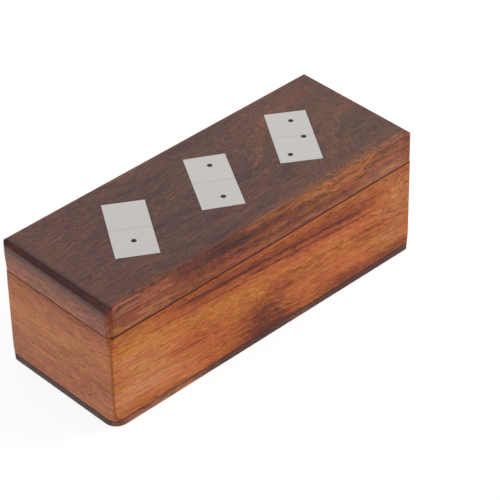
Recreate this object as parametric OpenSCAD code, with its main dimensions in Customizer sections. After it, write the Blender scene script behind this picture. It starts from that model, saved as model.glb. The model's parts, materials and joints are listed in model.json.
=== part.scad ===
// A domino storage box. The base is four mitred walls glued to a bottom board. The lid is
// four mitred rails under a top board with rounded edges, and it turns on two butt hinges
// let into the rims at the back. Three metal plates, each marked as a domino, lie flush in
// the top board. X runs along the box, the front faces -Y, +Z is up, and the origin is at
// the centre of the underside.

/* [Box] */
// Length over the end walls
box_l = 190; // [180:1:240]
// Width from front to back
box_w = 71.5; // [66:0.5:100]
// Height of the base, from the underside to its rim
base_h = 52.8; // [45:0.1:80]
// Height of the lid, from its rim to the top
lid_h = 16.6; // [15.6:0.1:30]
// Thickness of the upright walls of base and lid
wall_t = 8; // [7.5:0.25:11]
// Thickness of the bottom board
bottom_t = 4.5; // [3:0.25:6]
// Thickness of the lid's top board
top_t = 8; // [5:0.25:9]

/* [Edges] */
// Radius of the upright corners
corner_r = 2; // [1.9:0.1:6]
// Rounding of the lid's top edges
top_round = 1.25; // [0.5:0.25:1.75]
// Rounding of the bottom board's lower edges
foot_round = 1.75; // [0.5:0.25:1.75]
// Rounding of the two edges that meet at the seam
seam_round = 0.4; // [0.2:0.1:0.8]
// Gap at the seam while the lid is closed
seam_gap = 0.1; // [0.05:0.05:0.3]

/* [Inlay] */
// Length of a plate
plate_l = 40.8; // [36:0.1:44]
// Width of a plate
plate_w = 20.2; // [16:0.2:22]
// Thickness of a plate, which is also the depth of its pocket
plate_t = 1; // [0.6:0.1:1.5]
// Gap between a plate and its pocket's walls, all round
plate_gap = 0.25; // [0.1:0.05:0.5]
// Distance between the middles of two plates
plate_pitch = 51.2; // [48:0.1:56]
// Angles from the box's length to the plates' lengths: left, middle and right
plate_tilts = [58, 60, 57]; // [50:1:90]
// Distance of the middle plate to the right of the lid's middle
plate_right = 2.1; // [-3:0.1:3]
// Distance of the row of plates behind the lid's middle
plate_back = 1.4; // [-3:0.1:3]
// Width of the line engraved across a plate
divider_w = 0.35; // [0.2:0.05:0.6]
// Depth of the line engraved across a plate
divider_depth = 0.15; // [0.05:0.05:0.3]
// Diameter of a pip's hole
pip_d = 2.6; // [1.6:0.1:3.6]
// Gap between a pip's plug and its hole, on the radius
pip_gap = 0.02; // [0.01:0.01:0.05]

/* [Hinges] */
// Length of a hinge
hinge_l = 24; // [20:1:32]
// Distance from the end of the box to the middle of its hinge
hinge_from_end = 37; // [28:1:50]
// Width of a leaf, from the pin's axis to its inner edge
leaf_w = 6.2; // [5.6:0.1:6.4]
// Thickness of a leaf, which is also the wall of its knuckles
leaf_t = 0.9; // [0.7:0.1:1.2]
// Number of knuckles of both leaves together
knuckle_count = 5; // [3:2:7]
// Gap between neighbouring knuckles, along the pin
knuckle_gap = 0.2; // [0.1:0.05:0.3]
// Diameter of the hinge pin
pin_d = 1.6; // [1.2:0.1:2]
// Running clearance of the pin in its knuckles, on the radius
pin_clear = 0.05; // [0.02:0.01:0.08]
// Distance of the pin's axis inside the back face
pin_inset = 1; // [0.5:0.1:1.4]
// Angle at which the bevels of base and lid meet and stop the lid
stop_angle = 106; // [100:1:115]
// Clearance of the knuckles in the wood round them and in the other leaf
knuckle_clear = 0.2; // [0.15:0.05:0.4]
// Clearance of a leaf in its mortise, at its ends and inner edge
mortise_clear = 0.1; // [0.05:0.05:0.3]

/* [Screws] */
// Distance between a leaf's two screws
screw_pitch = 14; // [10:1:16]
// Distance of the screws from the pin's axis
screw_from_pin = 4.1; // [3.8:0.1:4.3]
// Diameter of a screw's shank
screw_d = 1.5; // [1.2:0.1:1.8]
// Length of a screw
screw_l = 6; // [4:0.5:6.5]
// Length of a screw's point
point_l = 1; // [0.5:0.1:1.5]
// Distance that a pilot hole runs on past its screw
pilot_past = 0.3; // [0.2:0.1:0.4]
// Diameter of a screw's countersunk head
head_d = 2.7; // [2.4:0.1:3]
// Height of a screw's countersunk head
head_h = 0.65; // [0.4:0.05:0.65]
// Clearance of a screw in its hole, on the radius
screw_clear = 0.03; // [0.02:0.01:0.06]
// Width of the slot in a screw's head
slot_w = 0.4; // [0.3:0.05:0.5]
// Depth of the slot in a screw's head
slot_depth = 0.35; // [0.2:0.05:0.5]

/* [Hidden] */
$fn = 64;
// How far a cutting shape reaches past what it cuts
past = 1;
lid_z = base_h + seam_gap;
top_z = lid_z + lid_h;
rail_z = top_z - top_t;
cavity_l = box_l - 2 * wall_t;
cavity_w = box_w - 2 * wall_t;
pin_y = box_w / 2 - pin_inset;
pin_z = base_h + seam_gap / 2;
bore_r = pin_d / 2 + pin_clear;
knuckle_r = bore_r + leaf_t;
knuckle_l = (hinge_l - (knuckle_count - 1) * knuckle_gap) / knuckle_count;
// The pips of each plate, as distances along it and across it from its middle
LEFT_PIPS = [[-9.1, 0.1]];
MIDDLE_PIPS = [[12.8, 1.1], [-12.5, 1.6]];
RIGHT_PIPS = [[13, 1.5], [-1, 4.9], [-14.3, -4.2]];
WOOD_BASE = "#a4612f";
WOOD_LID = "#6d4233";
WOOD_BOTTOM = "#57352a";
METAL = "#c8c5c1";
PIP = "#231e1c";
BRASS = "#b9934c";

// The box's plan, drawn in by d all round
module plan(d = 0) {
    square([box_l - 2 * d, box_w - 2 * corner_r], center = true);
    square([box_l - 2 * corner_r, box_w - 2 * d], center = true);
    for (x = [-1, 1], y = [-1, 1])
        translate([x * (box_l / 2 - corner_r), y * (box_w / 2 - corner_r)])
            circle(corner_r - d);
}

// A layer of the plan from z = 0 up to r, whose outer edge is a quarter round of radius r
module rounded_layer(r) {
    linear_extrude(r) plan(r);
    for (side = [0, 180]) {
        rotate(side) translate([0, box_w / 2 - r, 0]) edge_round(box_l - 2 * corner_r, r);
        rotate(side + 90) translate([0, box_l / 2 - r, 0]) edge_round(box_w - 2 * corner_r, r);
    }
    for (x = [0, 1], y = [0, 1])
        mirror([x, 0, 0]) mirror([0, y, 0])
            translate([box_l / 2 - corner_r, box_w / 2 - corner_r, 0])
                rotate_extrude(angle = 90) intersection() {
                    translate([corner_r - r, 0]) circle(r);
                    square([corner_r, r]);
                }
}

// A straight quarter round along X, its flat sides on y = 0 and z = 0
module edge_round(len, r) {
    rotate([90, 0, 90]) linear_extrude(len, center = true) intersection() {
        circle(r);
        square(r);
    }
}

// A slab of the box's plan between two heights, with its lower and upper edges rounded
module slab(z0, z1, lower = 0, upper = 0) {
    translate([0, 0, z0 + lower]) linear_extrude(z1 - z0 - lower - upper) plan();
    if (upper > 0) translate([0, 0, z1 - upper]) rounded_layer(upper);
    if (lower > 0) translate([0, 0, z0 + lower]) mirror([0, 0, 1]) rounded_layer(lower);
}

// The space inside the walls between two heights
module hollow(z0, z1) {
    translate([-cavity_l / 2, -cavity_w / 2, z0]) cube([cavity_l, cavity_w, z1 - z0]);
}

// The quarter of the plan that one wall keeps: its sides are the mitre planes
module mitre(turn, len, width) {
    rotate(turn) linear_extrude(top_z) polygon([
        [-len / 2 - past, -width / 2 - past],
        [len / 2 + past, -width / 2 - past],
        [max(0, (len - width) / 2), -max(0, (width - len) / 2)],
        [-max(0, (len - width) / 2), -max(0, (width - len) / 2)]
    ]);
}

// The wedge between the back face and the pin's axis that lets the lid tip back.
// It lies above the seam, and the base's is its mirror image.
module stop_bevel() {
    reach = pin_inset + past;
    translate([0, pin_y, 0]) rotate([90, 0, 90])
        linear_extrude(box_l + 2 * past, center = true)
            polygon([[0, 0], [reach, 0], [reach, reach * tan(stop_angle / 2)]]);
}

// The base's four walls as one ring, from the bottom board to the rim
module base_ring() {
    difference() {
        slab(bottom_t, base_h, upper = seam_round);
        hollow(bottom_t - past, base_h + past);
        translate([0, 0, pin_z]) mirror([0, 0, 1]) stop_bevel();
    }
}

// The lid's four rails as one ring, from the rim to the top board
module lid_ring() {
    difference() {
        slab(lid_z, rail_z, lower = seam_round);
        hollow(lid_z - past, rail_z + past);
        translate([0, 0, pin_z]) stop_bevel();
    }
}

// Left end of a knuckle, counted from the hinge's left end
function knuckle_x(i) = -hinge_l / 2 + i * (knuckle_l + knuckle_gap);

// Puts a part at the hinge on the left (-1) or on the right (1)
module at_hinge(side) {
    translate([side * (box_l / 2 - hinge_from_end), pin_y, pin_z]) children();
}

// Puts a part at both screws of a leaf whose hinge lies at the origin
module at_screws() {
    for (x = [-1, 1])
        translate([x * screw_pitch / 2, -screw_from_pin, -seam_gap / 2]) children();
}

// The base's leaf, with the pin's axis along X through the origin. Its knuckles are every
// second one from the first. The lid's leaf is the same part upside down, from the next.
module leaf(first) {
    bore_l = hinge_l + 2 * past;
    slot_in = knuckle_r + knuckle_clear;
    difference() {
        union() {
            difference() {
                translate([-hinge_l / 2, -leaf_w, -seam_gap / 2 - leaf_t])
                    cube([hinge_l, leaf_w, leaf_t]);
                for (i = [1 - first : 2 : knuckle_count - 1])
                    translate([knuckle_x(i) - knuckle_gap, -slot_in, -leaf_t - past])
                        cube([knuckle_l + 2 * knuckle_gap, slot_in + past, leaf_t + 2 * past]);
            }
            for (i = [first : 2 : knuckle_count - 1])
                translate([knuckle_x(i), 0, 0]) rotate([0, 90, 0])
                    cylinder(r = knuckle_r, h = knuckle_l);
        }
        translate([-bore_l / 2, 0, 0]) rotate([0, 90, 0]) cylinder(r = bore_r, h = bore_l);
        at_screws() screw_hole(leaf_t + past);
    }
}

// A countersunk hole that goes down from z = 0
module screw_hole(depth) {
    translate([0, 0, -head_h])
        cylinder(r1 = screw_d / 2 + screw_clear, r2 = head_d / 2 + screw_clear, h = head_h);
    translate([0, 0, -depth]) cylinder(r = screw_d / 2 + screw_clear, h = depth);
}

// A countersunk wood screw that points down, with its head's face at z = 0
module screw() {
    difference() {
        union() {
            translate([0, 0, -head_h]) cylinder(r1 = screw_d / 2, r2 = head_d / 2, h = head_h);
            translate([0, 0, point_l - screw_l])
                cylinder(r = screw_d / 2, h = screw_l - head_h - point_l);
            translate([0, 0, -screw_l]) cylinder(r1 = screw_d / 8, r2 = screw_d / 2, h = point_l);
        }
        translate([0, 0, past - slot_depth])
            cube([head_d + past, slot_w, 2 * past], center = true);
    }
}

// What one hinge takes out of the base's back wall: the leaf's mortise, room for the
// knuckles and two pilot holes. The lid's rail loses the same, upside down.
module hinge_seat() {
    seat_l = hinge_l + 2 * mortise_clear;
    seat_w = leaf_w + mortise_clear;
    translate([-seat_l / 2, -seat_w, -seam_gap / 2 - leaf_t])
        cube([seat_l, seat_w, leaf_t + past]);
    translate([-seat_l / 2, 0, 0]) rotate([0, 90, 0])
        cylinder(r = knuckle_r + knuckle_clear, h = seat_l);
    at_screws() translate([0, 0, -screw_l - pilot_past])
        cylinder(r = screw_d / 2 + screw_clear, h = screw_l);
}

// Puts a part at the middle of a plate's top, its X along the plate.
// The place is -1 for the left plate, 0 for the middle one and 1 for the right one.
module at_plate(place) {
    translate([plate_right + place * plate_pitch, plate_back, top_z])
        rotate(plate_tilts[place + 1]) children();
}

// The pocket that one plate lies in
module pocket() {
    translate([-plate_l / 2 - plate_gap, -plate_w / 2 - plate_gap, -plate_t])
        cube([plate_l + 2 * plate_gap, plate_w + 2 * plate_gap, plate_t + past]);
}

// A plate with a line engraved across its middle and a hole for each pip
module plate(pips) {
    color(METAL) difference() {
        translate([-plate_l / 2, -plate_w / 2, -plate_t]) cube([plate_l, plate_w, plate_t]);
        translate([-divider_w / 2, -plate_w / 2 - past, -divider_depth])
            cube([divider_w, plate_w + 2 * past, divider_depth + past]);
        for (p = pips) translate([p[0], -p[1], -plate_t - past])
            cylinder(d = pip_d, h = plate_t + 2 * past);
    }
}

// The black plugs that fill a plate's holes
module plugs(pips) {
    color(PIP) for (p = pips) translate([p[0], -p[1], -plate_t])
        cylinder(r = pip_d / 2 - pip_gap, h = plate_t);
}

module base_bottom_panel() color(WOOD_BOTTOM) slab(0, bottom_t, lower = foot_round);

module base_front_wall() color(WOOD_BASE) intersection() {
    base_ring();
    mitre(0, box_l, box_w);
}

module base_back_wall() color(WOOD_BASE) difference() {
    intersection() {
        base_ring();
        mitre(180, box_l, box_w);
    }
    for (side = [-1, 1]) at_hinge(side) hinge_seat();
}

module base_left_wall() color(WOOD_BASE) intersection() {
    base_ring();
    mitre(-90, box_w, box_l);
}

module base_right_wall() color(WOOD_BASE) intersection() {
    base_ring();
    mitre(90, box_w, box_l);
}

module lid_top_panel() color(WOOD_LID) difference() {
    slab(rail_z, top_z, upper = top_round);
    for (place = [-1 : 1]) at_plate(place) pocket();
}

module lid_front_rail() color(WOOD_LID) intersection() {
    lid_ring();
    mitre(0, box_l, box_w);
}

module lid_back_rail() color(WOOD_LID) difference() {
    intersection() {
        lid_ring();
        mitre(180, box_l, box_w);
    }
    for (side = [-1, 1]) at_hinge(side) mirror([0, 0, 1]) hinge_seat();
}

module lid_left_rail() color(WOOD_LID) intersection() {
    lid_ring();
    mitre(-90, box_w, box_l);
}

module lid_right_rail() color(WOOD_LID) intersection() {
    lid_ring();
    mitre(90, box_w, box_l);
}

module inlay_left() at_plate(-1) plate(LEFT_PIPS);
module inlay_middle() at_plate(0) plate(MIDDLE_PIPS);
module inlay_right() at_plate(1) plate(RIGHT_PIPS);
module pips_left() at_plate(-1) plugs(LEFT_PIPS);
module pips_middle() at_plate(0) plugs(MIDDLE_PIPS);
module pips_right() at_plate(1) plugs(RIGHT_PIPS);

module base_leaf(side) color(BRASS) at_hinge(side) leaf(0);
module lid_leaf(side) color(BRASS) at_hinge(side) mirror([0, 0, 1]) leaf(1);
module pin(side) color(BRASS) at_hinge(side) translate([-hinge_l / 2, 0, 0])
    rotate([0, 90, 0]) cylinder(d = pin_d, h = hinge_l);

module hinge_left_base_leaf() base_leaf(-1);
module hinge_right_base_leaf() base_leaf(1);
module hinge_left_lid_leaf() lid_leaf(-1);
module hinge_right_lid_leaf() lid_leaf(1);
module hinge_left_pin() pin(-1);
module hinge_right_pin() pin(1);

module hinge_screws_base() color(BRASS)
    for (side = [-1, 1]) at_hinge(side) at_screws() screw();

module hinge_screws_lid() color(BRASS)
    for (side = [-1, 1]) at_hinge(side) mirror([0, 0, 1]) at_screws() screw();

base_bottom_panel();
base_front_wall();
base_back_wall();
base_left_wall();
base_right_wall();
lid_top_panel();
lid_front_rail();
lid_back_rail();
lid_left_rail();
lid_right_rail();
inlay_left();
inlay_middle();
inlay_right();
pips_left();
pips_middle();
pips_right();
hinge_left_base_leaf();
hinge_right_base_leaf();
hinge_left_lid_leaf();
hinge_right_lid_leaf();
hinge_left_pin();
hinge_right_pin();
hinge_screws_base();
hinge_screws_lid();
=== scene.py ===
"""Looks of a domino storage box: mitred lacquered wood, brass butt hinges and metal inlays.

The wooden boards are modelled here with hand-rubbed corners and eased edges, over the
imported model's solids. Plates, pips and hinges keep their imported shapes. Lengths are in
metres, and names that end in _MM are in millimetres.
"""
import json
import math

import bmesh
import bpy
from mathutils import Matrix, Vector, noise


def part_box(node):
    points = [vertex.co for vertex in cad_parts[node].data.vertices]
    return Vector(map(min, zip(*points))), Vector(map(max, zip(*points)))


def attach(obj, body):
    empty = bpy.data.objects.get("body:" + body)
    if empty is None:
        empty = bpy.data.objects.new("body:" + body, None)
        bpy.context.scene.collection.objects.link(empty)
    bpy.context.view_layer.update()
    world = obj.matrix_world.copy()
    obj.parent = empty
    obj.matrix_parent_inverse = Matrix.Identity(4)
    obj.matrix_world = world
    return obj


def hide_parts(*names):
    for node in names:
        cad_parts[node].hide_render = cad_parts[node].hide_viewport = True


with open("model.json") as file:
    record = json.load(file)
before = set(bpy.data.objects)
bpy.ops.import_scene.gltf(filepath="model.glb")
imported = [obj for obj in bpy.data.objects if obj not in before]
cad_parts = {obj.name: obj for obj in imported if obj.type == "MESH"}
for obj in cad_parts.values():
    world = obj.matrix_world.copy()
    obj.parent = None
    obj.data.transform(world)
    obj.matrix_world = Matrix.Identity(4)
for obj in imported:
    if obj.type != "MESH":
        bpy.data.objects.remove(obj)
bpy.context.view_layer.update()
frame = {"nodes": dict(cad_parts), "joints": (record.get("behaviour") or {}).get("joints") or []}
NODES = frame["nodes"]
MM = 0.001

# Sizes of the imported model
HALF_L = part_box("base_bottom_panel")[1].x
HALF_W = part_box("base_bottom_panel")[1].y
BOTTOM_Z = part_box("base_bottom_panel")[1].z
RIM_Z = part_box("base_front_wall")[1].z
LID_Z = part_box("lid_front_rail")[0].z
RAIL_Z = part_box("lid_top_panel")[0].z
TOP_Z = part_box("lid_top_panel")[1].z
WALL_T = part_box("base_front_wall")[1].y + HALF_W
PIN = Vector(next(j for j in frame["joints"] if j["name"] == "lid_hinge")["pos_m"])

# Shape of the boards where hands and sandpaper have worn them, by corner or by side
BASE_CORNER_R = {"fl": 1.3 * MM, "fr": 0.5 * MM, "br": 0.7 * MM, "bl": 1.1 * MM}
LID_CORNER_R = {"fl": 3.3 * MM, "fr": 1.1 * MM, "br": 1.1 * MM, "bl": 0.9 * MM}
FOOT_CORNER_R = {"fl": 7.0 * MM, "fr": 1.8 * MM, "br": 1.8 * MM, "bl": 2.2 * MM}
LID_SEAM_WEAR = {"bl": 1.0 * MM}
RIM_CORNER_R = {"fl": 3.3 * MM, "fr": 0.5 * MM, "br": 1.1 * MM, "bl": 1.4 * MM}
LID_WEAR_HEIGHT = 9 * MM
FOOT_WEAR_HEIGHT = 11 * MM
RIM_WEAR_HEIGHT = 7 * MM
FOOT_ROUND = 1.4 * MM
TOP_ROUND = {"front": 0.8 * MM, "right": 0.8 * MM, "back": 0.36 * MM}
TOP_BEVEL_IN = 1.8 * MM
TOP_BEVEL_DOWN = 3.1 * MM
TOP_BEVEL_ROUND = 0.9 * MM
TOP_BEVEL_BACK_SHARE = 0.75
BASE_INSET = 0.05 * MM
SEAM_EASE = 0.5 * MM
INNER_EASE = 0.3 * MM
BOARD_EASE = 0.08 * MM
MITRE_GROOVE = 0.02 * MM
MITRE_GROOVE_TURN = math.radians(3)
SANDING_DEPTH = 0.06 * MM
SANDING_LENGTH = 45 * MM
SHARP_ANGLE = math.radians(24)
SIDE_DEPTH = 2.5 * MM

# Widest zone of the wood's figure that is split into streaks, in millimetres
STREAK_WIDTH = 10

# Shares of the grain's layers in a board's tone, from the broadest to the finest
GRAIN_SHARES = {
    "broad": 0.4,
    "medium": 0.32,
    "fine": 0.75,
    "fibre": 0.75,
    "mottle": 0.26,
    "speck": 0.3,
    "lines": -0.28,
}
GRAIN_LIFT = 0.045

# Tints of the wood: what the tone is multiplied by, the pores' colour, and the colour of
# painted seam shade and joint dirt
REDDISH = (1.03, 0.89, 1.15, 1)
GOLDEN = (1.0, 1.09, 0.84, 1)
PALER = (1.02, 1.36, 2.0, 1)
PORE_COLOUR = (0.06, 0.014, 0.006, 1)
SHADE_AND_DIRT_COLOUR = (0.05, 0.01, 0.005, 1)

# Inlay and hinge sizes that the boards are cut for
PLATE_L = 40.8 * MM
PLATE_W = 20.2 * MM
PLATE_GAP = 0.25 * MM
DIVIDER_W = 0.35 * MM
DIVIDER_DEPTH = 0.15 * MM
LINE_DEPTH = 0.05 * MM
STRIP_CLEAR = 0.01 * MM
STOP_HALF_ANGLE = math.radians(53)
LEAF_T = 0.9 * MM
LEAF_W = 6.2 * MM
MORTISE_CLEAR = 0.1 * MM
KNUCKLE_SEAT_R = 1.95 * MM

# Camera, as fitted to the photograph's edges
CAMERA_TARGET = Vector((10.98, -12.58, 32.56)) * MM
CAMERA_DISTANCE = 1130.7 * MM
CAMERA_AZIMUTH = math.radians(43.112)
CAMERA_ELEVATION = math.radians(37.424)
CAMERA_ROLL = math.radians(-1.131)
CAMERA_LENS_MM = 174.276
CAMERA_SENSOR_MM = 36
CAMERA_CLIP = (0.05, 20)

# Stage
FLOOR_HALF = 6.0
BOX_MIDDLE = (0, 0, 0.035)

CORNERS = [("fl", -1, -1), ("fr", 1, -1), ("br", 1, 1), ("bl", -1, 1)]
SIDES = {"front": 0, "right": 1, "back": 2, "left": 3}


# Mesh building


def mesh_object(name, verts, faces):
    """A new object from plain vertices and faces, with its normals turned outwards."""
    mesh = bpy.data.meshes.new(name)
    mesh.from_pydata(verts, [], faces)
    bm = bmesh.new()
    bm.from_mesh(mesh)
    bmesh.ops.recalc_face_normals(bm, faces=bm.faces)
    bm.to_mesh(mesh)
    bm.free()
    obj = bpy.data.objects.new(name, mesh)
    bpy.context.scene.collection.objects.link(obj)
    return obj


def smooth_faces(mesh):
    """Smooth faces, with each edge sharper than SHARP_ANGLE kept sharp."""
    bm = bmesh.new()
    bm.from_mesh(mesh)
    for face in bm.faces:
        face.smooth = True
    for edge in bm.edges:
        edge.smooth = len(edge.link_faces) == 2 and edge.calc_face_angle(math.pi) < SHARP_ANGLE
    bm.to_mesh(mesh)
    bm.free()


def weighted_normals(obj):
    """Keeps the large flat faces flat beside the small round ones."""
    modifier = obj.modifiers.new("weighted_normals", "WEIGHTED_NORMAL")
    modifier.keep_sharp = True
    modifier.weight = 80


def cut(obj, cutters):
    """Takes the cutters' space out of obj and deletes them."""
    for cutter in cutters:
        modifier = obj.modifiers.new("cut", "BOOLEAN")
        modifier.operation = "DIFFERENCE"
        modifier.solver = "EXACT"
        modifier.object = cutter
    depsgraph = bpy.context.evaluated_depsgraph_get()
    shaped = bpy.data.meshes.new_from_object(obj.evaluated_get(depsgraph))
    obj.modifiers.clear()
    obj.data = shaped
    for cutter in cutters:
        bpy.data.objects.remove(cutter)


def quads(rings, count, closed=False):
    """The faces between neighbouring rings of count points, all the way round if closed."""
    faces = []
    for i in range(rings if closed else rings - 1):
        n = (i + 1) % rings
        for j in range(count):
            k = (j + 1) % count
            faces.append((count * i + j, count * i + k, count * n + k, count * n + j))
    return faces


def prism(name, outline, low, high, place=lambda a, b, h: (a, b, h)):
    """A closed prism of a 2D outline between two heights, put in place point by point."""
    count = len(outline)
    verts = [place(a, b, h) for h in (low, high) for a, b in outline]
    sides = [(i, (i + 1) % count, count + (i + 1) % count, count + i) for i in range(count)]
    return mesh_object(name, verts, [tuple(range(count)), tuple(range(count, 2 * count)), *sides])


def sanded(point, normal):
    """The point, moved in along its normal by the slight unevenness of a hand-sanded face."""
    share = 0.5 + 0.5 * noise.noise(point / SANDING_LENGTH)
    return point - normal * SANDING_DEPTH * share


def smoothstep(share):
    """The share from 0 to 1, eased at both ends."""
    return share * share * (3 - 2 * share)


def corner_point(index, inset, edge=0.0):
    """The plan's sharp corner, moved in by the inset and the edge's own inset."""
    _, x, y = CORNERS[index % 4]
    return Vector((x * (HALF_L - inset - edge), y * (HALF_W - inset - edge), 0))


def lid_radii(z):
    """The lid's corner radii: the same at every height, but for what is worn at the seam."""
    seam = smoothstep(max(0.0, 1 - (z - LID_Z) / LID_WEAR_HEIGHT))
    return {
        name: radius + LID_SEAM_WEAR.get(name, 0.0) * seam
        for name, radius in LID_CORNER_R.items()
    }


def base_radii(z):
    """The base's corner radii: crisp in the middle, worn towards the foot and the rim."""
    foot = smoothstep(max(0.0, 1 - z / FOOT_WEAR_HEIGHT))
    rim = smoothstep(max(0.0, 1 - (RIM_Z - z) / RIM_WEAR_HEIGHT))
    return {
        name: crisp + (FOOT_CORNER_R[name] - crisp) * foot + (RIM_CORNER_R[name] - crisp) * rim
        for name, crisp in BASE_CORNER_R.items()
    }


def side_directions(side):
    """Unit vectors out of a side and along it, anticlockwise seen from above."""
    angle = -math.pi / 2 + side * math.pi / 2
    out = Vector((round(math.cos(angle)), round(math.sin(angle)), 0))
    return out, Vector((-out.y, out.x, 0)), angle


def outer_stations(side, radii, edge, arc_steps=8, run_steps=24):
    """Points and normals along one side's outside, from mitre to mitre."""
    out, _, angle = side_directions(side)
    ends = []
    for turn, index in ((-1, side), (1, side + 1)):
        radius = radii[CORNERS[index % 4][0]]
        centre = corner_point(index, radius, edge)
        turns = [MITRE_GROOVE_TURN]
        turns += [math.pi / 4 * i / arc_steps for i in range(1, arc_steps + 1)]
        arc = []
        for step in [0] + turns:
            here = angle + turn * (math.pi / 4 - step)
            normal = Vector((math.cos(here), math.sin(here), 0))
            arc.append((centre + normal * radius, normal))
        ends.append(arc)
    start, end = ends[0], ends[1][::-1]
    run = [
        (start[-1][0].lerp(end[0][0], i / run_steps), out.copy()) for i in range(1, run_steps)
    ]
    return start + run + end


def profile(low, high, low_ease, high_ease, steps=4):
    """The height profile of a face: pairs of inset and height, from bottom to top."""
    points = []
    if low_ease:
        for i in range(steps + 1):
            a = math.pi / 2 * i / steps
            points.append((low_ease * (1 - math.sin(a)), low + low_ease * (1 - math.cos(a))))
    else:
        points.append((0, low))
    if high_ease:
        for i in range(steps + 1):
            a = math.pi / 2 * i / steps
            points.append((high_ease * (1 - math.cos(a)), high - high_ease * (1 - math.sin(a))))
    else:
        points.append((0, high))
    return points


def with_middle(points, steps):
    """The profile, with its tallest straight stretch divided into steps."""
    gaps = [points[i + 1][1] - points[i][1] for i in range(len(points) - 1)]
    at = gaps.index(max(gaps))
    (d0, z0), (d1, z1) = points[at], points[at + 1]
    middle = [(d0 + (d1 - d0) * i / steps, z0 + (z1 - z0) * i / steps) for i in range(1, steps)]
    return points[: at + 1] + middle + points[at + 1 :]


def wall(name, side, radii, edge, heights, low_ease, high_ease, inner_low, inner_high):
    """One mitred wall: its outside turns half of each corner, its inside is flat."""
    out, along, _ = side_directions(side)
    low, high = heights
    inner_ends = corner_point(side, WALL_T), corner_point(side + 1, WALL_T)
    outside = with_middle(profile(low, high, low_ease, high_ease), 16)
    columns = list(zip(*(outer_stations(side, radii(z), edge) for _, z in outside)))
    count = len(columns)
    inside = profile(low, high, inner_low, inner_high)[::-1]
    verts = []
    for i, column in enumerate(columns):
        share = i / (count - 1)
        inner = inner_ends[0].lerp(inner_ends[1], share)
        groove = MITRE_GROOVE if i in (0, count - 1) else 0
        for (point, normal), (inset, z) in zip(column, outside):
            raised = Vector((point.x, point.y, z))
            verts.append(sanded(raised, normal) - normal * (inset + groove))
        lean = along * (-1 if i == 0 else 1 if i == count - 1 else 0)
        for inset, z in inside:
            verts.append(Vector((inner.x, inner.y, z)) + (out + lean) * inset)
    loop = len(outside) + len(inside)
    caps = [tuple(range(loop)), tuple(range(loop * (count - 1), loop * count))]
    return mesh_object(name, verts, caps + quads(count, loop))


def plan_ring(radii, edge, arc_steps=12, run_steps=24):
    """Points and normals all round the plan, each with the share of each side's shape."""
    ring = []
    for side in range(4):
        out, _, angle = side_directions(side)
        radius = radii[CORNERS[side][0]]
        centre = corner_point(side, radius, edge)
        for i in range(arc_steps + 1):
            here = angle - math.pi / 2 * (1 - i / arc_steps)
            normal = Vector((math.cos(here), math.sin(here), 0))
            ring.append((centre + normal * radius, normal, side - 1 + i / arc_steps))
        after = radii[CORNERS[(side + 1) % 4][0]]
        start = centre + out * radius
        end = corner_point(side + 1, after, edge) + out * after
        for i in range(1, run_steps):
            ring.append((start.lerp(end, i / run_steps), out.copy(), float(side)))
    return ring


def loft(name, layers):
    """A closed solid from rings of points, from its lowest or highest face to the other."""
    count = len(layers[0])
    verts = [point for layer in layers for point in layer]
    last = count * (len(layers) - 1)
    caps = [tuple(range(count)), tuple(range(last, last + count))]
    return mesh_object(name, verts, caps + quads(len(layers), count))


def quarter_round(radius, steps=8):
    """Inset and drop of a quarter round, from the side face up to the flat one."""
    turns = [math.pi / 2 * i / steps for i in range(steps + 1)]
    return [(radius * (1 - math.cos(a)), radius * (1 - math.sin(a))) for a in turns]


def worn_bevel(steps=8):
    """Inset and drop of the left end's worn bevel: an arris, a slope and a rounded top."""
    slope = math.atan2(TOP_BEVEL_DOWN, TOP_BEVEL_IN)
    tangent = TOP_BEVEL_ROUND * math.tan(slope / 2)
    points = [(0.0, TOP_BEVEL_DOWN)]
    for i in range(steps):
        turn = slope * (1 - i / (steps - 1))
        inward = TOP_BEVEL_IN + tangent - TOP_BEVEL_ROUND * math.sin(turn)
        points.append((inward, TOP_BEVEL_ROUND * (1 - math.cos(turn))))
    return points


def top_board(name):
    """The lid's top board: slightly rounded on three sides, with a worn bevel on the left."""
    rounds = [quarter_round(TOP_ROUND[side]) for side in ("front", "right", "back")]
    ring = plan_ring(LID_CORNER_R, 0.0)
    layers = []
    for inset, z in ((BOARD_EASE, RAIL_Z), (0, RAIL_Z + BOARD_EASE)):
        layers.append([sanded(Vector((p.x, p.y, z)), n) - n * inset for p, n, _ in ring])
    for steps in zip(*rounds, worn_bevel()):
        layer = []
        for p, n, place in ring:
            side = math.floor(place)
            share = place - side
            wear = 1 - (1 - TOP_BEVEL_BACK_SHARE) * (0.5 + 0.5 * p.y / HALF_W)
            shapes = [Vector(step) for step in steps]
            shapes[SIDES["left"]] *= wear
            inset, drop = shapes[side % 4].lerp(shapes[(side + 1) % 4], smoothstep(share))
            layer.append(sanded(Vector((p.x, p.y, TOP_Z - drop)), n) - n * inset)
        layers.append(layer)
    return loft(name, layers)


def bottom_board(name):
    """The bottom board, whose lower edge is rounded and whose corners are worn round."""
    levels = [(BOARD_EASE, BOTTOM_Z), (0.0, BOTTOM_Z - BOARD_EASE)]
    levels += [(0.0, FOOT_ROUND + (BOTTOM_Z - FOOT_ROUND) * i / 4) for i in (3, 2, 1)]
    levels += quarter_round(FOOT_ROUND)
    layers = []
    for inset, z in levels:
        ring = plan_ring(base_radii(z), BASE_INSET)
        layers.append([sanded(Vector((p.x, p.y, z)), n) - n * inset for p, n, _ in ring])
    return loft(name, layers)


# Cutters for the hinges' seats, the lid's stop and the plates' pockets


def hinge_centres():
    """The pin axis at the middle of each hinge, and half the length of its seat."""
    for node in ("hinge_left_pin", "hinge_right_pin"):
        low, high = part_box(node)
        yield Vector(((low.x + high.x) / 2, PIN.y, PIN.z)), (high.x - low.x) / 2 + MORTISE_CLEAR


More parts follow.
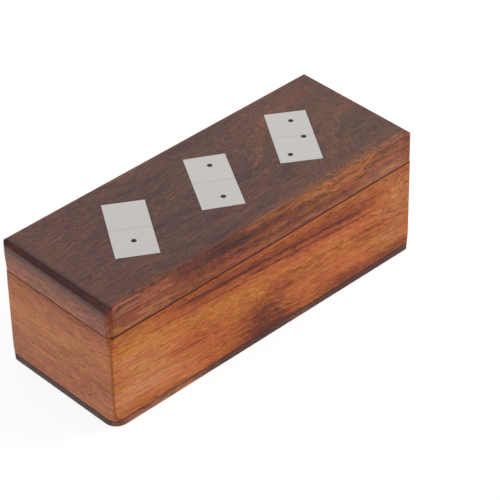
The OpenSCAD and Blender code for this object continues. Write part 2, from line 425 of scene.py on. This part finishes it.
def stop_bevel_cutter(up):
    """The wedge between the pin axis and the back face, over the rim or under the lid."""
    reach = HALF_W - PIN.y + 1 * MM
    outline = [(0, 0), (reach, 0), (reach, up * reach * math.tan(STOP_HALF_ANGLE))]
    beyond = HALF_L + 1 * MM
    return prism(
        "cutter", outline, -beyond, beyond, lambda a, b, h: (h, PIN.y + a, PIN.z + b)
    )


def hinge_seat_cutters(up):
    """Mortise and knuckle room of both hinges, in the base (up -1) or the lid (up 1)."""
    made = []
    for centre, half in hinge_centres():
        floor = LID_Z + LEAF_T if up > 0 else RIM_Z - LEAF_T
        back = centre.y - LEAF_W - MORTISE_CLEAR
        outline = [(back, floor), (centre.y, floor), (centre.y, PIN.z), (back, PIN.z)]
        place = lambda a, b, h, x=centre.x: (x + h, a, b)
        made.append(prism("cutter", outline, -half, half, place))
        steps = 48
        ring = [
            (
                centre.y + KNUCKLE_SEAT_R * math.cos(2 * math.pi * i / steps),
                centre.z + KNUCKLE_SEAT_R * math.sin(2 * math.pi * i / steps),
            )
            for i in range(steps)
        ]
        made.append(prism("cutter", ring, -half, half, place))
    return made


def plate_frames():
    """Each plate's name, centre on the lid's top, tilt and underside height."""
    for name in ("inlay_left", "inlay_middle", "inlay_right"):
        points = [v.co for v in NODES[name].data.vertices]
        low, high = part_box(name)
        left = min(points, key=lambda p: (round(p.x, 6), p.y))
        front = min(points, key=lambda p: (round(p.y, 6), p.x))
        tilt = math.atan2(front.y - left.y, front.x - left.x) + math.pi / 2
        yield name, Vector(((low.x + high.x) / 2, (low.y + high.y) / 2, high.z)), tilt, low.z


def tilted(centre, tilt, a, b, z):
    """A point a along and b across a tilted plate from its centre."""
    c, s = math.cos(tilt), math.sin(tilt)
    return (centre.x + a * c - b * s, centre.y + a * s + b * c, z)


def pocket_cutters():
    """The plates' pockets in the top board, each wider than its plate by the gap."""
    made = []
    a, b = PLATE_L / 2 + PLATE_GAP, PLATE_W / 2 + PLATE_GAP
    for _, centre, tilt, floor in plate_frames():
        outline = [(-a, -b), (a, -b), (a, b), (-a, b)]
        place = lambda u, v, h, c=centre, t=tilt: tilted(c, t, u, v, h)
        made.append(prism("cutter", outline, floor, TOP_Z + 1 * MM, place))
    return made


def divider_strip(name, centre, tilt):
    """The metal left in a plate's dividing groove, which makes the line a shallow one."""
    half, end = DIVIDER_W / 2 - STRIP_CLEAR, PLATE_W / 2
    outline = [(-half, -end), (half, -end), (half, end), (-half, end)]
    place = lambda a, b, h: tilted(centre, tilt, a, b, h)
    return prism(name, outline, TOP_Z - DIVIDER_DEPTH + STRIP_CLEAR, TOP_Z - LINE_DEPTH, place)


def dark_gap_line(name, centre, tilt, floor):
    """A dark line that closes the gap between a plate and its pocket."""
    sink = 0.03 * MM
    verts = []
    gap_steps = [(0.02 * MM, 0), (PLATE_GAP / 2, -0.03 * MM), (PLATE_GAP - 0.01 * MM, 0)]
    section = [(g, TOP_Z - sink + dz) for g, dz in gap_steps]
    section += [(gap_steps[-1][0], floor + 0.02 * MM), (gap_steps[0][0], floor + 0.02 * MM)]
    for sx, sy in ((-1, -1), (1, -1), (1, 1), (-1, 1)):
        for g, z in section:
            along, across = sx * (PLATE_L / 2 + g), sy * (PLATE_W / 2 + g)
            verts.append(tilted(centre, tilt, along, across, z))
    return mesh_object(name, verts, quads(4, len(section), closed=True))


# Materials


class Shader:
    """A short way to write a material's nodes."""

    def __init__(self, name):
        self.material = bpy.data.materials.new(name)
        self.material.use_nodes = True
        self.tree = self.material.node_tree
        self.tree.nodes.clear()

    def node(self, kind, inputs=(), **settings):
        made = self.tree.nodes.new(kind)
        for key, value in settings.items():
            setattr(made, key, value)
        for key, value in dict(inputs).items():
            self.put(made.inputs[key], value)
        return made

    def put(self, socket, value):
        if isinstance(value, bpy.types.NodeSocket):
            self.tree.links.new(value, socket)
        else:
            socket.default_value = value

    def math(self, operation, a, b=0.0):
        made = self.node("ShaderNodeMath", operation=operation)
        self.put(made.inputs[0], a)
        self.put(made.inputs[1], b)
        return made.outputs[0]

    def add(self, *terms):
        total = terms[0]
        for term in terms[1:]:
            total = self.math("ADD", total, term)
        return total

    def times(self, a, b):
        return self.math("MULTIPLY", a, b)

    def smooth(self, value, low, high, to_low=0.0, to_high=1.0):
        made = self.node(
            "ShaderNodeMapRange",
            {1: low, 2: high, 3: to_low, 4: to_high},
            interpolation_type="SMOOTHSTEP",
        )
        self.put(made.inputs[0], value)
        return made.outputs[0]

    def vector(self, x, y, z):
        return self.node("ShaderNodeCombineXYZ", {0: x, 1: y, 2: z}).outputs[0]

    def noise(self, vector, scale=1.0, detail=2.0, roughness=0.5):
        made = self.node(
            "ShaderNodeTexNoise",
            {"Vector": vector, "Scale": scale, "Detail": detail, "Roughness": roughness},
        )
        return made.outputs[0]

    def mix(self, share, a, b, blend="MIX"):
        made = self.node("ShaderNodeMix", data_type="RGBA", blend_type=blend)
        self.put(made.inputs[0], share)
        self.put(made.inputs[6], a)
        self.put(made.inputs[7], b)
        return made.outputs[2]

    def ramp(self, value, stops):
        made = self.node("ShaderNodeValToRGB", {0: value})
        made.color_ramp.interpolation = "EASE"
        elements = made.color_ramp.elements
        while len(elements) < len(stops):
            elements.new(0.5)
        for element, (position, colour) in zip(elements, stops):
            element.position = position
            element.color = (*colour, 1)
        return made.outputs[0]

    def position_mm(self):
        """The row frame's coordinates in millimetres, as three sockets."""
        raw = self.node("ShaderNodeTexCoord").outputs["Object"]
        scaled = self.node("ShaderNodeVectorMath", {0: raw, 3: 1 / MM}, operation="SCALE")
        parts = self.node("ShaderNodeSeparateXYZ", {0: scaled.outputs[0]})
        return parts.outputs[0], parts.outputs[1], parts.outputs[2]

    def band(self, a, b, start, end, width, fade, wobble=None):
        """A soft streak in the a-b plane: 1 on the line from start to end, 0 past its width."""
        length = math.hypot(end[0] - start[0], end[1] - start[1])
        ca, cb = (end[0] - start[0]) / length, (end[1] - start[1]) / length
        da, db = self.math("SUBTRACT", a, start[0]), self.math("SUBTRACT", b, start[1])
        along = self.add(self.times(da, ca), self.times(db, cb))
        across = self.math("SUBTRACT", self.times(db, ca), self.times(da, cb))
        if wobble is not None:
            across = self.add(across, wobble)
        near = self.smooth(self.math("ABSOLUTE", across), width, 0.0)
        begun = self.smooth(along, -fade, fade)
        going = self.smooth(along, length + fade, length - fade)
        return self.times(self.times(near, begun), going)

    def finish(self, shader):
        self.node("ShaderNodeOutputMaterial", {"Surface": shader})
        return self.material


def wood(
    name, along, stops, tone, zones, seed, slope=0.0, pale=0.3, sheen=0.3,
    sides=(), swirl=1.0, arches=(), contrast=1.0, seam=0.9,
):
    """Lacquered wood with its grain along X or Y, in tones picked from a colour ramp.

    Zones are the figure's streaks and patches, with some painted light and painted reflections:
    the axes of a plane, start, end, half width and fade in millimetres, and what each adds
    to tone, paleness, gold and dullness.
    Narrow zones are split into fine streaks, wide ones are smooth.
    Sides give the same for a side face: its axis, its direction and the four additions.
    Slope is how far the grain climbs along the board, swirl how much it wanders, and
    each arch bends it: the axes of a plane, a centre, a radius and a height. Sheen is the
    lacquer's reflection, and seam how dark the painted shade in the base-lid gap is.
    """
    s = Shader(name)
    x, y, z = s.position_mm()
    axes = {"x": x, "y": y, "z": z}
    u = axes[along]
    v, w = (axes[k] for k in "xyz" if k != along)
    drift = s.noise(s.vector(s.times(u, 1 / 55), s.times(v, 1 / 28), s.times(w, 1 / 28)), detail=2)
    drift = s.times(s.math("SUBTRACT", drift, 0.5), 17 * swirl)
    for plane, centre, radius, rise in arches:
        away = [s.math("SUBTRACT", axes[k], c) for k, c in zip(plane, centre)]
        reach = s.math("SQRT", s.add(*(s.times(a, a) for a in away)))
        drift = s.add(drift, s.smooth(reach, radius, 0.0, 0.0, -rise))
    vv = s.add(v, drift, seed)
    ww = s.add(w, drift, s.times(u, slope), seed * 1.7)

    def streaks(length, width, detail=1.0, rough=0.5):
        place = s.vector(s.times(u, 1 / length), s.times(vv, 1 / width), s.times(ww, 1 / width))
        return s.math("SUBTRACT", s.noise(place, detail=detail, roughness=rough), 0.5)

    broad = streaks(70, 9, 2)
    medium = streaks(34, 2.2, 2)
    fine = streaks(18, 0.75, 3, 0.6)
    fibre = streaks(6, 0.36)
    mottle = streaks(3.6, 1.8, 2, 0.6)
    speck = streaks(1.2, 0.7)
    lines = s.smooth(streaks(26, 0.6, 1), 0.06, 0.2)
    layers = [broad, medium, fine, fibre, mottle, speck, lines]
    shares = zip(layers, GRAIN_SHARES.values())
    pattern = s.add(*(s.times(layer, share) for layer, share in shares), GRAIN_LIFT)
    grain = s.add(s.times(pattern, contrast), tone)
    bundle = s.add(s.times(medium, 1.8), s.times(fine, 2.4), 1.0)
    wobble = s.add(s.times(broad, 1.2), s.times(medium, 0.8))
    paleness = s.add(s.times(streaks(45, 6, 2), 1.4), pale)
    gold = s.add(s.times(streaks(30, 3.4, 2), 2.6), s.times(mottle, 1.2), 0.5)
    pores = s.smooth(streaks(3.6, 0.3), 0.14, 0.24)
    # Painted shade in the seam's gap, with the joints' dark lines and dirt, darkens and dulls the
    # wood
    shade_and_dirt = seam_shade_and_dirt(s, axes, seam)
    gloss = s.noise(s.vector(s.times(x, 1 / 6), s.times(y, 1 / 6), s.times(z, 1 / 6)), detail=3)
    dullness = s.add(s.times(gloss, 0.16), s.times(pores, 0.1), s.times(shade_and_dirt, 0.4), 0.14)
    masks = []
    for plane, start, end, width, fade, *shifts in zones:
        sway = s.times(wobble, width)
        mask = s.band(axes[plane[0]], axes[plane[1]], start, end, width, fade, sway)
        masks.append((mask, mask if width > STREAK_WIDTH else s.times(mask, bundle), shifts))
    for axis, direction, *shifts in sides:
        half = HALF_L / MM if axis == "x" else HALF_W / MM
        mask = s.smooth(s.times(axes[axis], direction), half - 1.5, half - 0.3)
        masks.append((mask, mask, shifts))
    for mask, tone_mask, (tone_shift, pale_shift, gold_shift, dull_shift) in masks:
        grain = s.add(grain, s.times(tone_mask, tone_shift))
        paleness = s.add(paleness, s.times(mask, pale_shift))
        gold = s.add(gold, s.times(mask, gold_shift))
        if dull_shift:
            dullness = s.add(dullness, s.times(mask, dull_shift))
    deep = s.ramp(grain, stops)
    tint = s.mix(s.smooth(gold, 0.0, 1.0), REDDISH, GOLDEN)
    deep = s.mix(1.0, deep, tint, "MULTIPLY")
    lighter = s.mix(1.0, deep, PALER, "MULTIPLY")
    colour = s.mix(s.smooth(paleness, 0.0, 1.0), deep, lighter)
    colour = s.mix(s.times(pores, 0.4), colour, PORE_COLOUR)
    # The painted seam shade and the joint dirt are mixed into the colour here
    colour = s.mix(shade_and_dirt, colour, SHADE_AND_DIRT_COLOUR)
    height = s.add(s.times(fibre, 0.5), s.times(fine, 0.4), s.times(pores, -0.5))
    swell = s.noise(s.vector(s.times(x, 1 / 7), s.times(y, 1 / 7), s.times(z, 1 / 7)), detail=2)
    fine_bump = s.node(
        "ShaderNodeBump", {"Strength": 0.3, "Distance": 0.05 * MM, "Height": height}
    )
    bump = s.node(
        "ShaderNodeBump",
        {
            "Strength": 0.35,
            "Distance": 0.25 * MM,
            "Height": swell,
            "Normal": fine_bump.outputs[0],
        },
    )
    surface = s.node(
        "ShaderNodeBsdfPrincipled",
        {
            "Base Color": colour,
            "Roughness": dullness,
            "Specular IOR Level": sheen,
            "Normal": bump.outputs[0],
        },
    )
    return s.finish(surface.outputs[0])


def seam_shade_and_dirt(s, axes, seam_share):
    """Shares of painted shade in the seam's gap, a dark line at the bottom joint and mitre dirt.
    """
    depth = [
        s.math("SUBTRACT", half / MM, s.math("ABSOLUTE", axes[k]))
        for k, half in (("x", HALF_L), ("y", HALF_W))
    ]
    outer = s.smooth(s.math("MINIMUM", *depth), 1.3, 0.5)
    seam = s.math("ABSOLUTE", s.math("SUBTRACT", axes["z"], (RIM_Z + LID_Z) / 2 / MM))
    foot = s.math("ABSOLUTE", s.math("SUBTRACT", axes["z"], BOTTOM_Z / MM))
    mitre = s.math("ABSOLUTE", s.math("SUBTRACT", *depth))
    # Painted shade: the gap between base and lid is darkened in the colour, as strong as the seam
    # share
    seam = s.times(s.smooth(seam, 0.75, 0.4), seam_share)
    lines = s.math("MAXIMUM", seam, s.smooth(foot, 0.6, 0.1, 0.0, 0.8))
    return s.math("MAXIMUM", s.times(lines, outer), s.smooth(mitre, 0.6, 0.0, 0.0, 0.15))


def plate_metal():
    """Satin sheet metal with faint mottling and fine scratches in two directions."""
    s = Shader("plate_metal")
    x, y, z = s.position_mm()
    cloud = s.noise(s.vector(s.times(x, 1 / 5), s.times(y, 1 / 5), 0.0), detail=3)
    marks = []
    for angle, width in ((0.5, 0.12), (-1.1, 0.16)):
        c, n = math.cos(angle), math.sin(angle)
        a = s.add(s.times(x, c), s.times(y, n))
        b = s.add(s.times(x, -n), s.times(y, c))
        marks.append(s.noise(s.vector(s.times(a, 1 / 9), s.times(b, 1 / width), 0.0), detail=2))
    scratches = s.smooth(s.math("MAXIMUM", *marks), 0.66, 0.8)
    colour = s.mix(cloud, (0.735, 0.705, 0.68, 1), (0.835, 0.8, 0.775, 1))
    colour = s.mix(s.times(scratches, 0.25), colour, (0.4, 0.39, 0.38, 1))
    height = s.add(s.times(cloud, 0.4), s.times(scratches, -1.0))
    bump = s.node("ShaderNodeBump", {"Strength": 0.2, "Distance": 0.03 * MM, "Height": height})
    surface = s.node(
        "ShaderNodeBsdfPrincipled",
        {
            "Base Color": colour,
            "Metallic": 1.0,
            "Roughness": s.smooth(cloud, 0.2, 0.8, 0.36, 0.46),
            "Normal": bump.outputs[0],
        },
    )
    return s.finish(surface.outputs[0])


def brass():
    """Plain brass with a thin brown tarnish in patches."""
    s = Shader("hinge_brass")
    x, y, z = s.position_mm()
    here = s.vector(x, y, z)
    cloud = s.noise(here, 0.35, 4)
    grain = s.noise(s.vector(s.times(x, 1 / 3), s.times(y, 4), s.times(z, 4)), 1.0, 2)
    colour = s.mix(s.smooth(cloud, 0.35, 0.7), (0.72, 0.5, 0.2, 1), (0.42, 0.26, 0.1, 1))
    bump = s.node(
        "ShaderNodeBump", {"Strength": 0.15, "Distance": 0.02 * MM, "Height": grain}
    )
    surface = s.node(
        "ShaderNodeBsdfPrincipled",
        {
            "Base Color": colour,
            "Metallic": 1.0,
            "Roughness": s.smooth(cloud, 0.3, 0.7, 0.25, 0.42),
            "Normal": bump.outputs[0],
        },
    )
    return s.finish(surface.outputs[0])


def dull_black(name, colour):
    """Dull black, slightly grainy: the pips' filler and the dark line in the plates' gaps."""
    s = Shader(name)
    x, y, z = s.position_mm()
    grit = s.noise(s.vector(x, y, z), 3.0, 3)
    tint = s.mix(grit, (*[c * 0.7 for c in colour], 1), (*[c * 1.4 for c in colour], 1))
    bump = s.node("ShaderNodeBump", {"Strength": 0.2, "Distance": 0.02 * MM, "Height": grit})
    surface = s.node(
        "ShaderNodeBsdfPrincipled",
        {"Base Color": tint, "Roughness": 0.5, "Normal": bump.outputs[0]},
    )
    return s.finish(surface.outputs[0])


BASE_STOPS = [
    (0.0, (0.1, 0.018, 0.005)),
    (0.25, (0.21, 0.042, 0.008)),
    (0.5, (0.36, 0.087, 0.015)),
    (0.75, (0.47, 0.13, 0.026)),
    (1.0, (0.58, 0.19, 0.05)),
]
LID_STOPS = [
    (0.0, (0.05, 0.011, 0.006)),
    (0.25, (0.105, 0.026, 0.011)),
    (0.5, (0.2, 0.048, 0.016)),
    (0.75, (0.3, 0.078, 0.026)),
    (1.0, (0.42, 0.13, 0.05)),
]


def repaint(obj, material):
    """Gives the object one material in place of those it has."""
    obj.data.materials.clear()
    obj.data.materials.append(material)


def paint_sides(obj, front, rest):
    """Gives a board's front face and its other side faces their own materials."""
    obj.data.materials.append(front)
    obj.data.materials.append(rest)
    for polygon in obj.data.polygons:
        depth = min(HALF_L - abs(polygon.center.x), HALF_W - abs(polygon.center.y))
        if depth < SIDE_DEPTH and abs(polygon.normal.z) < math.cos(math.pi / 4):
            turned = -polygon.normal.y > abs(polygon.normal.x)
            polygon.material_index = 1 if turned else 2


def dress(obj, body, node, material):
    """Finishes a board: shading, material, what it replaces and what it rides on."""
    smooth_faces(obj.data)
    weighted_normals(obj)
    repaint(obj, material)
    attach(obj, body)
    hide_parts(node)


# Boards


front_figure_and_reflection = [
    ("xz", (-60, 50), (66, 42), 8, 16, -0.32, -0.2, -0.3, 0),
    ("xz", (-50, 48.5), (64, 41), 1.5, 14, -0.4, -0.2, -0.3, 0),
    ("xz", (-12, 42.5), (58, 37.5), 1.3, 12, -0.34, -0.2, -0.3, 0),
    ("xz", (-70, 44), (-8, 40), 1.2, 12, -0.24, -0.2, -0.2, 0),
    ("xz", (10, 30), (76, 27), 1.4, 12, -0.26, 0.0, 0.0, 0),
    ("xz", (38, 50), (98, 50), 4.5, 12, -0.16, 0.4, 0.0, 0),
    # Painted reflection: a wide dark patch low in the middle, as of dark tiles standing before the
    # box
    ("xz", (-3, 22), (3, -8), 27, 8, -0.57, 0.3, -0.2, 0),
    ("xz", (36, 8), (96, 8), 5, 9, -0.26, 0.1, 0.0, 0),
    ("xz", (-96, 29), (-32, 24), 4, 12, -0.1, 0.1, 0.0, 0),
    ("xz", (-96, 41), (60, 27), 6, 14, 0.14, -0.2, 0.5, 0),
    ("xz", (20, 40), (64, 34), 6, 12, 0.04, 0.0, -0.8, 0),
    ("xz", (-60, 24), (-30, 20), 8, 12, 0.08, 0.0, -0.3, 0),
    ("xz", (-98, 13), (-40, 11), 11, 14, 0.22, 0.5, -0.1, 0),
    ("xz", (-30, 4.6), (96, 4.6), 5.0, 10, -0.2, 0.1, 0.0, 0),
    ("xz", (-78, 12), (-76, 44), 40, 10, 0.24, 0.7, -0.1, 0),
    ("xz", (86, 50), (88, 10), 22, 8, -0.06, 0.9, 0.0, 0),
    ("xz", (50, 41), (98, 40), 4.5, 12, 0.1, 0.2, 0.0, 0),
]
left_figure = [
    ("yz", (-36, 51), (36, 51), 5.5, 6, -0.34, 0.0, 0.0, 0),
    ("yz", (-36, 22), (36, 22), 3.5, 8, -0.14, 0.0, 0.0, 0),
    ("yz", (-36, 36), (36, 33), 6, 8, 0.1, 0.0, 0.5, 0),
    ("yz", (-36, 14), (36, 14), 11, 8, -0.1, 0.0, 0.0, 0),
    ("yz", (-36, 5.0), (36, 5.0), 4.5, 4, -0.12, 0.0, 0.0, 0),
]
lid_front_figure = [
    ("xz", (-52, 60.5), (62, 57), 3.6, 16, -0.24, -0.1, -0.2, 0),
    ("xz", (-96, 55), (-60, 58), 6, 14, 0.2, 0.1, 0.2, 0),
    ("xz", (62, 58), (96, 57), 8, 12, 0.04, 0.6, 0.0, 0),
]
top_figure_and_light = [
    # Painted light: these two make the top's front strip lighter and less grey, widening to the
    # right, as a rounded edge turned to the lamp would look
    ("xy", (-100, -35), (100, -35), 5.6, 6, 0.1, -1.6, 0.0, 0),
    ("xy", (0, -35.5), (100, -33.5), 7.5, 30, 0.34, -0.5, 0.9, 0),
    ("xy", (-90, -26), (-20, -26), 5, 14, -0.1, 0.1, 0.3, 0),
    ("xy", (20, -8), (56, 24), 3.0, 9, 0.14, -0.5, 0.0, 0),
    ("xy", (60, -18), (94, 8), 3.0, 9, 0.12, -0.5, 0.0, 0),
    ("xy", (28, -20), (60, 8), 3.5, 9, -0.12, 0.2, 0.2, 0),
    ("xy", (74, -17), (90, -15), 11, 8, -0.1, 0.4, 0.3, 0),
    ("xy", (44, 17), (88, 27), 4.0, 10, 0.1, -0.5, -0.3, 0),
    ("xy", (-20, -24), (30, -12), 5.0, 12, 0.05, -0.5, -0.4, 0),
    ("xz", (-96.5, 64.5), (-92.2, 70.8), 1.7, 0.6, -0.24, -0.9, -0.6, 0.1),
    # Painted highlight: a thin pale line along the top's front edge near the left corner
    ("xz", (-92.5, 68.9), (-78, 68.9), 0.5, 3, 0.5, 1.6, 0.3, 0),
    ("xz", (-42, 66.0), (40, 63.5), 4.4, 14, -0.4, 0.0, 0.0, 0),
    ("xz", (-96, 65), (-60, 65), 6.0, 12, 0.34, 0.3, 0.3, 0),
    ("xz", (40, 66), (96, 65), 3.4, 14, 0.0, 0.3, 0.0, 0),
    ("xy", (-72, 34), (-72, -30), 26, 10, -0.04, -0.1, -0.5, 0),
    ("xy", (62, 34), (82, -26), 34, 12, 0.06, 0.1, 0.3, 0),
]
top_sides = [
    ("y", -1, 0.08, 0.75, -0.3, 0),
    ("x", -1, 0.14, -0.3, 0.0, 0),
    ("y", 1, 0.28, -0.4, 0.0, 0),
    ("x", 1, 0.28, -0.4, 0.0, 0),
]
top_end_figure = [
    ("yz", (-37, 66.2), (37, 66.2), 4.6, 4, -0.34, -0.2, 0.0, 0),
]
rail_end_figure = [
    ("yz", (-37, 62.5), (37, 62.5), 4.5, 4, -0.1, 0.0, 0.0, 0),
]
bottom_figure = [
    ("xz", (-98, 2), (-40, 2), 7, 12, 0.7, 0.6, 0.2, 0),
    ("xz", (10, 2), (36, 2), 7, 10, 0.2, 0.2, 0.0, 0),
]
bottom_sides = [("x", -1, -0.55, 0.0, 0.0, 0)]
worn_corner = ("xy", (-96, -35.75), (-93, -35.75), 3.6, 1.5, 0.14, -0.2, -0.2, 0.25)


wall_materials = {
    "front": wood(
        "base_front", "x", BASE_STOPS, 0.6, front_figure_and_reflection, 3.0, 0.08, -0.1, 0.14, contrast=1.15
    ),
    "left": wood(
        "base_left", "y", BASE_STOPS, 0.73, left_figure, 57.0, 0.0, 0.12, 0.24,
        contrast=1.3, seam=0.5,
    ),
    "right": wood("base_right", "y", BASE_STOPS, 0.6, [], 91.0),
    "back": wood("base_back", "x", BASE_STOPS, 0.56, [], 23.0, 0.05),
}
rail_materials = {
    "front": wood(
        "lid_front", "x", LID_STOPS, 0.61, [worn_corner, *lid_front_figure], 13.0, 0.06, 0.2,
        0.14, contrast=1.15,
    ),
    "left": wood(
        "lid_left", "y", LID_STOPS, 0.72, [worn_corner, *rail_end_figure], 41.0, 0.0, 0.35, 0.3,
        contrast=1.5, seam=0.5,
    ),
    "right": wood("lid_right", "y", LID_STOPS, 0.6, [], 77.0),
    "back": wood("lid_back", "x", LID_STOPS, 0.6, [], 5.0, 0.04),
}
for side_name, side_index in SIDES.items():
    back = side_name == "back"
    base_wall = wall(
        f"base_{side_name}_board", side_index, base_radii, BASE_INSET, (BOTTOM_Z, RIM_Z),
        BOARD_EASE, 0 if back else SEAM_EASE, 0, INNER_EASE,
    )
    lid_rail = wall(
        f"lid_{side_name}_board", side_index, lid_radii, 0.0, (LID_Z, RAIL_Z),
        0 if back else SEAM_EASE, BOARD_EASE, INNER_EASE, 0,
    )
    if side_name != "front":
        cut(base_wall, [stop_bevel_cutter(-1), *(hinge_seat_cutters(-1) if back else [])])
        cut(lid_rail, [stop_bevel_cutter(1), *(hinge_seat_cutters(1) if back else [])])
    dress(base_wall, "base", f"base_{side_name}_wall", wall_materials[side_name])
    dress(lid_rail, "lid", f"lid_{side_name}_rail", rail_materials[side_name])

bottom = bottom_board("bottom_board")
bottom_material = wood(
    "bottom", "x", LID_STOPS, 0.07, bottom_figure, 31.0, 0.0, 0.62, 0.18, sides=bottom_sides
)
dress(bottom, "base", "base_bottom_panel", bottom_material)

top = top_board("top_board")
cut(top, pocket_cutters())
top_materials = {
    face: wood(
        f"lid_top_{face}", "x", LID_STOPS, 0.25, face_zones, 13.0, 0.06, 0.9, sheen,
        sides=top_sides, swirl=1.2, arches=arches,
    )
    for face, face_zones, sheen, arches in (
        ("top", [worn_corner, *top_figure_and_light], 0.5, [("xy", (88, 8), 80, 32)]),
        ("front", [worn_corner, *top_figure_and_light], 0.16, []),
        ("end", [worn_corner, *top_figure_and_light, *top_end_figure], 0.28, []),
    )
}
dress(top, "lid", "lid_top_panel", top_materials["top"])
paint_sides(top, top_materials["front"], top_materials["end"])

# Inlays

metal = plate_metal()
pip_black = dull_black("pip_black", (0.02, 0.018, 0.016))
line_black = dull_black("line_black", (0.03, 0.02, 0.016))
for plate_name, plate_centre, plate_tilt, pocket_floor in plate_frames():
    repaint(NODES[plate_name], metal)
    repaint(NODES[plate_name.replace("inlay", "pips")], pip_black)
    line = dark_gap_line(f"{plate_name}_dark_gap_line", plate_centre, plate_tilt, pocket_floor)
    repaint(line, line_black)
    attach(line, "lid")
    strip = divider_strip(f"{plate_name}_divider", plate_centre, plate_tilt)
    repaint(strip, metal)
    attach(strip, "lid")

# Hinges

hinge_metal = brass()
for hinge_name in [n for n in NODES if n.startswith("hinge_")]:
    repaint(NODES[hinge_name], hinge_metal)

# Stage, light and camera


def light_path(s):
    """1 for what the camera or a reflection sees directly."""
    rays = s.node("ShaderNodeLightPath").outputs
    seen = s.math("MAXIMUM", rays["Is Camera Ray"], rays["Is Glossy Ray"])
    return s.math("MAXIMUM", seen, rays["Is Transmission Ray"])


def make_floor():
    """A plain pale floor that looks white and keeps a faint shadow."""
    half = FLOOR_HALF
    corners = [(-half, -half, 0), (half, -half, 0), (half, half, 0), (-half, half, 0)]
    floor = mesh_object("floor", corners, [(0, 1, 2, 3)])
    s = Shader("floor_white")
    plain = s.node("ShaderNodeBsdfDiffuse", {"Color": (0.8, 0.8, 0.8, 1)})
    shade = s.node("ShaderNodeBsdfDiffuse", {"Color": (0.25, 0.25, 0.25, 1)})
    glow = s.node("ShaderNodeEmission", {"Color": (1, 1, 1, 1), "Strength": 0.86})
    white = s.node("ShaderNodeAddShader", {0: shade.outputs[0], 1: glow.outputs[0]})
    both = s.node(
        "ShaderNodeMixShader", {0: light_path(s), 1: plain.outputs[0], 2: white.outputs[0]}
    )
    repaint(floor, s.finish(both.outputs[0]))


def make_world():
    """A dim, even room."""
    world = bpy.data.worlds.new("studio")
    bpy.context.scene.world = world
    world.use_nodes = True
    background = world.node_tree.nodes["Background"]
    background.inputs["Color"].default_value = (1, 1, 1, 1)
    background.inputs["Strength"].default_value = 0.4


def soft_light(name, place, aim, width, height, radiance):
    """An area light of a given brightness as seen in a mirror."""
    data = bpy.data.lights.new(name, "AREA")
    data.shape = "RECTANGLE"
    data.size = width
    data.size_y = height
    data.energy = radiance * width * height * math.pi
    lamp = bpy.data.objects.new(name, data)
    lamp.location = place
    lamp.rotation_mode = "QUATERNION"
    lamp.rotation_quaternion = (Vector(aim) - Vector(place)).to_track_quat("-Z", "Y")
    lamp.visible_camera = False
    bpy.context.scene.collection.objects.link(lamp)


def make_camera():
    """The photograph's camera, aimed at its target with a slight roll."""
    data = bpy.data.cameras.new("camera")
    data.lens = CAMERA_LENS_MM
    data.sensor_width = CAMERA_SENSOR_MM
    data.clip_start, data.clip_end = CAMERA_CLIP
    camera = bpy.data.objects.new("camera", data)
    flat = math.cos(CAMERA_ELEVATION)
    forward = Vector(
        (
            math.sin(CAMERA_AZIMUTH) * flat,
            math.cos(CAMERA_AZIMUTH) * flat,
            -math.sin(CAMERA_ELEVATION),
        )
    )
    turn = forward.to_track_quat("-Z", "Y").to_matrix() @ Matrix.Rotation(CAMERA_ROLL, 3, "Z")
    camera.matrix_world = (
        Matrix.Translation(CAMERA_TARGET - forward * CAMERA_DISTANCE) @ turn.to_4x4()
    )
    bpy.context.scene.collection.objects.link(camera)
    bpy.context.scene.camera = camera


make_floor()
make_world()
soft_light("backdrop_light", (1.15, 1.25, 0.95), BOX_MIDDLE, 2.6, 1.5, 0.42)
soft_light("left_light", (-1.5, 0.25, 0.5), BOX_MIDDLE, 1.0, 1.0, 2.0)
soft_light("right_light", (1.5, -0.78, 0.42), BOX_MIDDLE, 1.2, 1.0, 9.6)
make_camera()
bpy.context.scene.view_settings.view_transform = "Standard"
